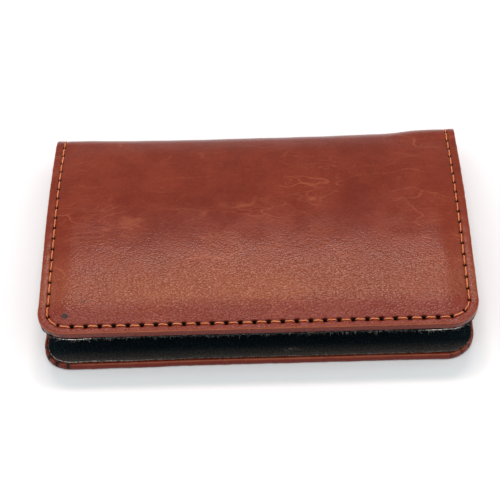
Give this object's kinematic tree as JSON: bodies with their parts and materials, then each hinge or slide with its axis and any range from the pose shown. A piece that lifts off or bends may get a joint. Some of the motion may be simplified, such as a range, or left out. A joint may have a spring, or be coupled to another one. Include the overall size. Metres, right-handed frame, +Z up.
{
  "type": "card holder",
  "caption": "Bifold leather card holder with a soft rounded spine, black lining, a card pocket in each cover and stitched edges, lying closed but relaxed.",
  "frame": {"origin": "centre of the flat underside's level, at the middle of the whole case's width and depth", "axes": "+X along the spine, +Y from the opening edge to the spine, +Z up through the closed covers"},
  "size_m": [0.105, 0.0666, 0.0159],
  "materials": {
    "leather": "smooth red-brown leather with a soft sheen and a fine grain",
    "padding": "thin open-cell foam sheet",
    "board": "grey fibreboard, uncoated",
    "lining": "black short-napped suede cloth",
    "thread": "orange-tan twisted polyester thread",
    "dark_thread": "near-black twisted polyester thread"
  },
  "bodies": {
    "lower_cover": {"lower_cover_leather": "leather", "lower_cover_board": "board", "lower_cover_lining": "lining", "lower_card_pocket": "lining", "lower_cover_stitching": "thread", "lower_cover_inner_stitching": "dark_thread"},
    "spine": {"spine_leather": "leather", "spine_reinforcement": "board", "spine_lining": "lining", "spine_stitching_left": "thread", "spine_stitching_right": "thread", "spine_inner_stitching_left": "dark_thread", "spine_inner_stitching_right": "dark_thread"},
    "upper_cover": {"upper_cover_leather": "leather", "upper_cover_padding": "padding", "upper_cover_board": "board", "upper_cover_lining": "lining", "upper_card_pocket": "lining", "upper_cover_stitching": "thread", "upper_cover_inner_stitching": "dark_thread"}
  },
  "joints": [
    {"name": "spine_fold", "type": "hinge", "parent": "lower_cover", "child": "spine", "pos_m": [0, 0.03215, 0.0009], "axis": [-1, 0, 0], "range_deg": [-3.6, 87]},
    {"name": "cover_fold", "type": "hinge", "parent": "spine", "child": "upper_cover", "pos_m": [0, 0.03215, 0.0117], "axis": [-1, 0, 0], "range_deg": [-3.6, 87]}
  ],
  "couplings": [
    {"joint": "cover_fold", "follows": "spine_fold", "ratio": 1}
  ]
}
